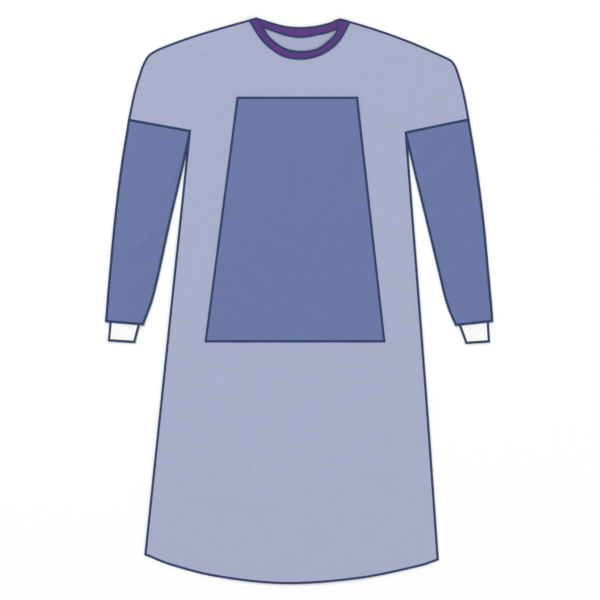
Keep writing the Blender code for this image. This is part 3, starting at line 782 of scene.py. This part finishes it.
def wave_material(name, colour, waves, roughness, sheen, distance):
    """Cloth or thread whose relief comes from two crossing waves, with painted shade that darkens
    the colour between the yarns. A wave is scale and turn.
    """
    if name in bpy.data.materials:
        return bpy.data.materials[name]
    material, tree, shader = new_material(name)
    coords = add_node(tree, "ShaderNodeTexCoord", "Place on the cloth", (-1200, 0), {})
    place = coords.outputs["Object"]
    yarns = []
    for index, (scale, turn) in enumerate(waves):
        run = add_node(tree, "ShaderNodeMapping", f"Run {index}", (-1000, -300 * index), {
            "Vector": place, "Rotation": (0.0, 0.0, math.radians(turn))})
        yarn = add_node(tree, "ShaderNodeTexWave", f"Yarn {index}", (-800, -300 * index), {
            "Vector": run.outputs["Vector"], "Scale": scale, "Distortion": 0.6, "Detail": 1.0})
        yarns.append(yarn.outputs["Fac"])
    weave = calculated(tree, "Crossing yarns", (-560, 0), "MULTIPLY", *yarns)
    dye = add_node(tree, "ShaderNodeTexNoise", "Uneven dye", (-800, 300), {
        "Vector": place, "Scale": 160.0, "Detail": 4.0})
    dyed = ranged(tree, "Dye range", (-560, 300), dye.outputs["Fac"], 0.93, 1.07)
    # Painted shade: the colour is darker between the yarns, where shade falls; the uneven dye is
    # the yarn's own tone
    painted_gap_shade = ranged(tree, "Darker between yarns", (-400, 60), weave, 0.90, 1.03)
    shade = calculated(tree, "Dye and yarn shade", (-240, 200), "MULTIPLY", dyed, painted_gap_shade)
    tint = add_node(tree, "ShaderNodeVectorMath", "Shaded colour", (-60, 200), {
        0: colour, "Scale": shade}, operation="SCALE")
    bump = add_node(tree, "ShaderNodeBump", "Yarn relief", (-250, -200), {
        "Strength": 0.5, "Distance": distance, "Height": weave})
    feed(tree, shader, {
        "Base Color": tint.outputs["Vector"], "Normal": bump.outputs["Normal"],
        "Roughness": roughness, "Sheen Weight": sheen, "Specular IOR Level": 0.25,
    })
    return material


def body_material(sizes, colours):
    return bonded_material("body_bonded_cloth", colours.body, sizes, roughness=0.78,
                           dot_depth=0.5, cloud=0.10, sheen=0.12, coat=0.0)


def panel_material(sizes, colours):
    return bonded_material("panel_bonded_cloth", colours.panel, sizes, roughness=0.60,
                           dot_depth=0.35, cloud=0.12, sheen=0.08, coat=0.06)


def knit_material(colours):
    return wave_material("cuff_rib_knit", colours.cuff, ((95.0, 0.0), (160.0, 90.0)),
                         roughness=0.92, sheen=0.25, distance=0.0003)


def tape_material(colours):
    return wave_material("neck_tape_weave", colours.tape, ((210.0, 45.0), (210.0, -45.0)),
                         roughness=0.76, sheen=0.04, distance=0.0002)


def thread_material(colours):
    return wave_material("overlock_thread", colours.thread, ((420.0, 32.0), (420.0, 32.0)),
                         roughness=0.70, sheen=0.03, distance=0.0001)


# Sewing

def top_of_pieces(*names):
    """The upward faces of finished pieces, to sew on."""
    verts, faces = [], []
    for name in names:
        mesh = bpy.data.objects[name].data
        first = len(verts)
        verts += [vert.co.copy() for vert in mesh.vertices]
        faces += [
            [first + i for i in poly.vertices] for poly in mesh.polygons if poly.normal.z > UPWARD
        ]
    return BVHTree.FromPolygons(verts, faces)


def lifted(line, tree, rise, inset=0.0):
    """A flat line raised to a cloth's top, which is read on its right by the inset, plus a rise."""
    heights = [height_on(tree, p.x, p.y) for p in moved_out(line, -inset)]
    even = list(heights)
    for _ in range(SEWING_ROUNDS):
        for i in range(1, len(even) - 1):
            even[i] = (even[i - 1] + 2 * even[i] + even[i + 1]) / 4
    return [Vector((p.x, p.y, z + rise)) for p, z in zip(line, even)]


def sewing_bed(paths, width, height):
    """Flattened tubes that follow the paths, as one mesh."""
    profile = bpy.data.curves.new("seam_profile", "CURVE")
    profile.dimensions = "2D"
    ring = profile.splines.new("POLY")
    ring.points.add(BED_SIDES - 1)
    for i in range(BED_SIDES):
        angle = 2 * math.pi * i / BED_SIDES
        ring.points[i].co = (math.cos(angle) * width / 2, math.sin(angle) * height / 2, 0.0, 1.0)
    ring.use_cyclic_u = True
    profile_object = put_in_scene("seam_profile", profile)
    curve = bpy.data.curves.new("seam_run", "CURVE")
    curve.dimensions = "3D"
    curve.twist_mode = "Z_UP"
    curve.bevel_mode = "OBJECT"
    curve.bevel_object = profile_object
    curve.use_fill_caps = True
    for path in paths:
        run = curve.splines.new("POLY")
        run.points.add(len(path) - 1)
        for point, place in zip(run.points, path):
            point.co = (*place, 1.0)
    curve_object = put_in_scene("seam_run", curve)
    bpy.context.view_layer.update()
    ready = curve_object.evaluated_get(bpy.context.evaluated_depsgraph_get())
    mesh = bpy.data.meshes.new_from_object(ready)
    for item in (curve_object, profile_object):
        bpy.data.objects.remove(item, do_unlink=True)
    bpy.data.curves.remove(curve)
    bpy.data.curves.remove(profile)
    return mesh


def stitch_shape(width, sewing, sizes):
    """Points of one thread across a seam, as across, up and along, and its faces."""
    angles = np.radians(np.linspace(sewing.wrap_start, sewing.wrap_end, STITCH_STATIONS))
    lean = sizes.stitch_pitch * STITCH_LEAN
    points, faces = [], []
    for step, angle in enumerate(angles):
        share = step / (STITCH_STATIONS - 1)
        for side in range(THREAD_SIDES):
            round_angle = 2 * math.pi * side / THREAD_SIDES
            lift = 1 + sizes.thread_radius * math.cos(round_angle) / (width / 2)
            tall = sewing.height / 2 + sizes.thread_radius * (sewing.proud + math.cos(round_angle))
            points.append((
                math.sin(angle) * width / 2 * lift,
                math.cos(angle) * tall,
                (share - 0.5) * lean + sizes.thread_radius * THREAD_WIDTH * math.sin(round_angle),
            ))
            if step:
                here = step * THREAD_SIDES + side
                there = step * THREAD_SIDES + (side + 1) % THREAD_SIDES
                faces.append((here - THREAD_SIDES, there - THREAD_SIDES, there, here))
    last = (STITCH_STATIONS - 1) * THREAD_SIDES
    faces.append(tuple(range(THREAD_SIDES))[::-1])
    faces.append(tuple(last + i for i in range(THREAD_SIDES)))
    return np.array(points), faces


def stitch_mesh(paths, width, sewing, sizes):
    """All the threads along the paths, as one mesh. A path's outward side is on its left."""
    verts, faces = [], []
    shape, shape_faces = stitch_shape(width, sewing, sizes)
    for path in paths:
        ends = np.array(spread(path, sizes.stitch_pitch))
        marks = (ends[1:] + ends[:-1]) / 2
        along = np.gradient(marks, axis=0)
        along /= np.linalg.norm(along, axis=1)[:, None]
        left = np.cross((0.0, 0.0, 1.0), along)
        left /= np.linalg.norm(left, axis=1)[:, None]
        up = np.cross(along, left)
        for mark, across, rise, run in zip(marks, left, up, along):
            first = len(verts)
            verts.extend(mark + shape @ np.array((across, rise, run)))
            faces.extend(tuple(first + i for i in face) for face in shape_faces)
    mesh = bpy.data.meshes.new("stitches")
    mesh.from_pydata([tuple(v) for v in verts], [], faces)
    return mesh


def sew(name, runs, sizes, material):
    """One object of closed seam beds and threads. A run is a sewing kind and its paths."""
    bm = bmesh.new()
    for sewing, paths in runs:
        width = sizes.seam_width * sewing.share
        bed = sewing_bed(paths, width, sewing.height)
        bm.from_mesh(bed)
        bpy.data.meshes.remove(bed)
        bmesh.ops.remove_doubles(bm, verts=bm.verts, dist=CAP_GAP)
        threads = stitch_mesh(paths, width, sewing, sizes)
        bm.from_mesh(threads)
        bpy.data.meshes.remove(threads)
    bmesh.ops.recalc_face_normals(bm, faces=bm.faces)
    return finish_piece(name, bm, material, smooth_angle=70)


# Pieces

class GownOperator:
    """Shared by the operators: sizes and colours from the scene's settings."""

    bl_options = {"REGISTER"}

    def settings(self, context):
        return context.scene.gown_sizes, context.scene.gown_colours


class GOWN_OT_back_panels(GownOperator, bpy.types.Operator):
    """Lay the back wrap, the back under panel and the waist ties"""

    bl_idname = "gown.back_panels"
    bl_label = "Back Panels and Ties"

    def execute(self, context):
        sizes, colours = self.settings(context)
        lines = gown_lines(sizes.plan_pitch)
        cloth = body_material(sizes, colours)
        outline = body_outline(lines, neck_line(lines, "back"))
        creases = back_creases()
        for name, node, edge, keep_left, rests in (
            ("back_wrap_cloth", "back_wrap", WRAP_EDGE, False, ["tie_wrap"]),
            ("back_under_cloth", "back_under", UNDER_EDGE, True, ["back_wrap"]),
        ):
            piece = make_sheet_piece(
                name, node, outline, cloth, sizes, creases,
                free_edge=(edge, keep_left), rounds=6)
        for name, node, strip in (
            ("tie_wrap_cloth", "tie_wrap", WRAP_TIE), ("tie_side_cloth", "tie_side", SIDE_TIE),
        ):
            outline = strip_outline(strip)
            along = Vector((strip.end_x - strip.start_x, strip.end_y - strip.start_y))
            turn = math.atan2(along.y, along.x) - math.pi / 2
            piece = make_sheet_piece(
                name, node, outline, cloth, sizes, (), pitch=TIE_PITCH,
                turn=turn, rounds=0)
        return {"FINISHED"}


class GOWN_OT_front_panel(GownOperator, bpy.types.Operator):
    """Lay the front with the fronts of both upper sleeves"""

    bl_idname = "gown.front_panel"
    bl_label = "Front Panel"

    def execute(self, context):
        sizes, colours = self.settings(context)
        lines = gown_lines(sizes.plan_pitch)
        outline = body_outline(lines, neck_line(lines, "front"))
        piece = make_sheet_piece(
            "front_cloth", "front", outline, body_material(sizes, colours), sizes,
            CREASES)
        flat_area(outline)
        return {"FINISHED"}


class GOWN_OT_chest_panel(GownOperator, bpy.types.Operator):
    """Lay the darker chest panel on the front"""

    bl_idname = "gown.chest_panel"
    bl_label = "Chest Panel"

    def execute(self, context):
        sizes, colours = self.settings(context)
        outline = gown_lines(sizes.plan_pitch)["chest"][:-1]
        piece = make_sheet_piece(
            "chest_panel_cloth", "chest_panel", outline, panel_material(sizes, colours),
            sizes, CREASES)
        flat_area(outline)
        return {"FINISHED"}


class GOWN_OT_sleeves(GownOperator, bpy.types.Operator):
    """Lay both darker lower sleeves"""

    bl_idname = "gown.sleeves"
    bl_label = "Lower Sleeves"

    def execute(self, context):
        sizes, colours = self.settings(context)
        lines = gown_lines(sizes.plan_pitch)
        pitch = sizes.plan_pitch * SLEEVE_PITCH_SHARE
        for side, table in (("right", RIGHT_SLEEVE), ("left", LEFT_SLEEVE)):
            outline = tube_outline(lines, side, "sleeve")
            top, foot = table[0], table[-1]
            along = Vector((foot.outer_x - top.outer_x, foot.outer_y - top.outer_y))
            turn = math.atan2(along.y, along.x) + math.pi / 2
            ends = [
                (lines[f"{side}_sleeve_{end}"][0], lines[f"{side}_sleeve_{end}"][-1])
                for end in ("start", "end")
            ]
            piece = make_tube_piece(
                f"sleeve_{side}_cloth", f"sleeve_{side}", outline, panel_material(sizes, colours),
                (pitch, pitch), turn, ends, SLEEVE_CREASES, sizes)
            2 * flat_area(outline)
        return {"FINISHED"}


class GOWN_OT_cuffs(GownOperator, bpy.types.Operator):
    """Lay both white rib knit cuffs"""

    bl_idname = "gown.cuffs"
    bl_label = "Knit Cuffs"

    def execute(self, context):
        sizes, colours = self.settings(context)
        lines = gown_lines(sizes.plan_pitch / 2)
        for side, table in (("right", RIGHT_CUFF), ("left", LEFT_CUFF)):
            outline = tube_outline(lines, side, "cuff", tuck=CUFF_TUCK)
            top, foot = table
            top_middle = Vector((top.outer_x + top.inner_x, top.outer_y + top.inner_y)) / 2
            foot_middle = Vector((foot.outer_x + foot.inner_x, foot.outer_y + foot.inner_y)) / 2
            along = foot_middle - top_middle
            turn = math.atan2(along.y, along.x) + math.pi / 2
            across = Vector((-along.y, along.x)).normalized()
            wide = (Vector((top.outer_x - top.inner_x, top.outer_y - top.inner_y))).length
            narrow = (Vector((foot.outer_x - foot.inner_x, foot.outer_y - foot.inner_y))).length
            count = round(wide / sizes.rib_pitch)

            def ribs(place, top_middle=top_middle, along=along, across=across, wide=wide,
                     narrow=narrow, count=count):
                offset = place.to_2d() - top_middle
                share = offset.dot(along) / along.length_squared
                width = wide + (narrow - wide) * share
                aside = offset.dot(across)
                groove = 0.5 - 0.5 * math.cos(2 * math.pi * aside / width * count)
                inside = (width / 2 - abs(aside) - sizes.seam_width / 2) / sizes.rib_pitch
                return -sizes.rib_height * groove * min(1.0, max(0.0, inside))

            ends = [
                (outline[0], outline[-1]),
                (lines[f"{side}_cuff_end"][0], lines[f"{side}_cuff_end"][-1]),
            ]
            piece = make_tube_piece(
                f"cuff_{side}_knit", f"cuff_{side}", outline, knit_material(colours),
                (sizes.rib_pitch / CUTS_A_RIB, CUFF_ROW_PITCH), turn, ends, (), sizes, ribs)
            2 * flat_area(outline)
        return {"FINISHED"}


class GOWN_OT_neck_binding(GownOperator, bpy.types.Operator):
    """Lay the purple binding round the neck, front and back"""

    bl_idname = "gown.neck_binding"
    bl_label = "Neck Binding"

    def execute(self, context):
        sizes, colours = self.settings(context)
        step = sizes.plan_pitch / 2
        lines = gown_lines(step)
        for part, rests in (("back", "back_under"), ("front", "front")):
            outline = joined(lines[f"{part}_outer"], lines["left_band_end"],
                             lines[f"{part}_inner"][::-1], lines["right_band_end"][::-1])
            piece = make_sheet_piece(
                f"neck_binding_{part}_tape", f"neck_binding_{part}", outline,
                tape_material(colours), sizes, (), pitch=step, rounds=4)
            area = flat_area(outline)
        return {"FINISHED"}


class GOWN_OT_sewing(GownOperator, bpy.types.Operator):
    """Sew the navy overlocked lines along every edge and seam"""

    bl_idname = "gown.sewing"
    bl_label = "Overlocked Lines"

    def execute(self, context):
        sizes, colours = self.settings(context)
        thread = thread_material(colours)
        step = sizes.plan_pitch / 2
        lines = gown_lines(step)
        tops = {
            "body": top_of_pieces("front_cloth"),
            "chest": top_of_pieces("chest_panel_cloth"),
            "front_tape": top_of_pieces("neck_binding_front_tape"),
            "back_tape": top_of_pieces("neck_binding_back_tape"),
            "sleeves": top_of_pieces("sleeve_right_cloth", "sleeve_left_cloth"),
            "cuffs": top_of_pieces("cuff_right_knit", "cuff_left_knit"),
        }

        def on(top, sewing, *names):
            return [lifted(lines[name], tops[top], sewing.rise) for name in names]

        def on_edge(top, sewing, line, reach=0.0):
            line = past_ends(line, reach) if reach else line
            path = lifted(line, tops[top], sewing.rise, EDGE_SEAT)
            lowest = sewing.height / 2 + sizes.thread_radius * (1 + sewing.proud)
            for point in path:
                point.z = max(point.z, lowest)
            return path

        def on_floor(*names, creases=()):
            paths = []
            for name in names:
                folds = crease_heights(np.array(lines[name]), creases)
                paths.append([
                    Vector((p.x, p.y, FLOOR_SEWING.rise + fold))
                    for p, fold in zip(lines[name], folds)
                ])
            return paths

        # Each edge runs with the outside of the cloth on its left
        body_edges = [on_edge("body", EDGE_SEWING, line) for line in (
            lines["right_shoulder"][::-1], lines["left_shoulder"],
            lines["right_side"][::-1], lines["left_side"],
        )]
        sew("sewing_body_edges", ((EDGE_SEWING, body_edges),), sizes, thread)
        hem = on_edge("body", HEM_SEWING, lines["hem"][::-1], CORNER_REACH)
        low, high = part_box("back_wrap")
        lines["wrap_edge"] = [
            p for p in table_line(WRAP_EDGE, step, True)
            if low.y + WRAP_HEM < p.y < high.y - WRAP_NECK
        ]
        floor_paths = on_floor("hem", "right_seam", "left_seam")
        floor_paths += on_floor("wrap_edge", creases=back_creases())
        sew("sewing_hem_and_back", ((HEM_SEWING, [hem]), (FLOOR_SEWING, floor_paths)),
            sizes, thread)

        corners = CHEST_CORNERS + CHEST_CORNERS[:1]
        chest = [
            lifted(past_ends(table_line(side, step, True), CORNER_REACH),
                   tops["chest"], STEP_SEWING.rise)
            for side in zip(corners, corners[1:])
        ]
        sew("sewing_chest_panel", ((STEP_SEWING, chest),), sizes, thread)

        # The front tape's inner line shows from where it comes out over the back tape
        back_xs, back_ys = zip(*lines["back_outer"])
        gap_edge = [
            p for p in table_line(FRONT_BAND_INNER, GAP_STEP)
            if p.y < np.interp(p.x, back_xs, back_ys) + GAP_REACH
        ]
        neck_paths = on("front_tape", NECK_SEWING, "front_outer")
        for line, reach in (
            (spread(gap_edge, step), 0.0), (lines["right_band_end"], PEAK_REACH),
            (lines["left_band_end"], PEAK_REACH),
        ):
            line = past_ends(line, reach) if reach else line
            neck_paths.append(lifted(line, tops["front_tape"], NECK_SEWING.rise))
        neck_paths += on("back_tape", NECK_SEWING, "back_outer", "back_inner")
        sew("sewing_neck", ((NECK_SEWING, neck_paths),), sizes, thread)

        edge_paths, mouth_paths, flat_paths, floor_paths = [], [], [], []
        for side in ("right", "left"):
            turned = -1 if side == "right" else 1
            for part, top in (("sleeve", "sleeves"), ("cuff", "cuffs")):
                outer, inner, end = (
                    lines[f"{side}_{part}_{edge}"] for edge in ("outer", "inner", "end"))
                edge_paths.append(on_edge(top, EDGE_SEWING, outer[::turned]))
                edge_paths.append(
                    on_edge(top, EDGE_SEWING, moved_out(inner[::-turned], -INNER_LEAN)))
                mouth_paths.append(on_edge(top, MOUTH_SEWING, end[::turned], CORNER_REACH))
                floor_paths += on_floor(f"{side}_{part}_end")
            seam = past_ends(lines[f"{side}_seam"][::-turned], SEAM_REACH)
            seam = moved_out(seam, SEAM_LEAN)
            flat_paths.append(lifted(seam, tops["body"], FLAT_SEWING.rise))
        sew("sewing_sleeves_and_cuffs", (
            (EDGE_SEWING, edge_paths), (MOUTH_SEWING, mouth_paths), (FLAT_SEWING, flat_paths),
            (FLOOR_SEWING, floor_paths),
        ), sizes, thread)
        return {"FINISHED"}


class GOWN_OT_stage(GownOperator, bpy.types.Operator):
    """Set the pale floor, the soft lights and the camera straight above"""

    bl_idname = "gown.stage"
    bl_label = "Stage"

    def execute(self, context):
        _, colours = self.settings(context)
        scene = context.scene
        bm = bmesh.new()
        bmesh.ops.create_grid(bm, x_segments=2, y_segments=2, size=FLOOR_HALF)
        bmesh.ops.translate(bm, verts=bm.verts, vec=(0.0, 0.0, -FLOOR_DROP))
        mesh = bpy.data.meshes.new("floor")
        bm.to_mesh(mesh)
        bm.free()
        material, tree, shader = new_material("pale_floor")
        feed(tree, shader, {
            "Base Color": (*colours.floor, 1.0), "Roughness": 0.9, "Specular IOR Level": 0.1})
        mesh.materials.append(material)
        floor = put_in_scene("floor", mesh)
        floor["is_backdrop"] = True

        for name, place, size, power in (
            ("key_light", (-3.6, 4.3, 5.9), 5.4, 343.0),
            ("fill_light", (4.3, -2.7, 5.9), 6.3, 187.0),
        ):
            light = bpy.data.lights.new(name, "AREA")
            light.shape = "SQUARE"
            light.size = size
            light.energy = power
            lamp = put_in_scene(name, light)
            lamp.location = place
            lamp.rotation_euler = (-Vector(place)).to_track_quat("-Z", "Y").to_euler()
        world = bpy.data.worlds.new("soft_room")
        world.use_nodes = True
        background = world.node_tree.nodes["Background"]
        feed(world.node_tree, background, {"Color": (1.0, 1.0, 1.0, 1.0), "Strength": ROOM_LIGHT})
        scene.world = world
        scene.view_settings.view_transform = "Standard"

        frame_width = PHOTO_WIDTH_PX * METRES_PER_PX
        camera = bpy.data.cameras.new("photo_camera")
        camera.lens = LENS_MM
        camera.sensor_width = SENSOR_MM
        camera.clip_end = CAMERA_REACH
        mount = put_in_scene("photo_camera", camera)
        distance = frame_width * LENS_MM / SENSOR_MM
        mount.location = (VIEW_CENTRE.x, VIEW_CENTRE.y, distance + cad_high.z / 2)
        scene.camera = mount
        return {"FINISHED"}


class GOWN_PT_pieces(bpy.types.Panel):
    """Sizes, colours and pieces of the gown"""

    bl_idname = "GOWN_PT_pieces"
    bl_label = "Surgical Gown"
    bl_space_type = "VIEW_3D"
    bl_region_type = "UI"
    bl_category = "Gown"

    def draw(self, context):
        layout = self.layout
        for settings in (context.scene.gown_sizes, context.scene.gown_colours):
            box = layout.box()
            for name in settings.bl_rna.properties.keys():
                if name not in {"rna_type", "name"}:
                    box.prop(settings, name)
        for operator in OPERATORS:
            layout.operator(operator.bl_idname)


OPERATORS = (
    GOWN_OT_back_panels,
    GOWN_OT_front_panel,
    GOWN_OT_chest_panel,
    GOWN_OT_sleeves,
    GOWN_OT_cuffs,
    GOWN_OT_neck_binding,
    GOWN_OT_sewing,
    GOWN_OT_stage,
)
CLASSES = (GownSizes, GownColours) + OPERATORS + (GOWN_PT_pieces,)


def register():
    for item in CLASSES:
        bpy.utils.register_class(item)
    bpy.types.Scene.gown_sizes = PointerProperty(type=GownSizes)
    bpy.types.Scene.gown_colours = PointerProperty(type=GownColours)


def unregister():
    del bpy.types.Scene.gown_colours
    del bpy.types.Scene.gown_sizes
    for item in reversed(CLASSES):
        bpy.utils.unregister_class(item)


def main():
    register()
    bpy.ops.gown.back_panels()
    bpy.ops.gown.front_panel()
    bpy.ops.gown.chest_panel()
    bpy.ops.gown.sleeves()
    bpy.ops.gown.cuffs()
    bpy.ops.gown.neck_binding()
    bpy.ops.gown.sewing()
    bpy.ops.gown.stage()


if __name__ == "__main__":
    main()
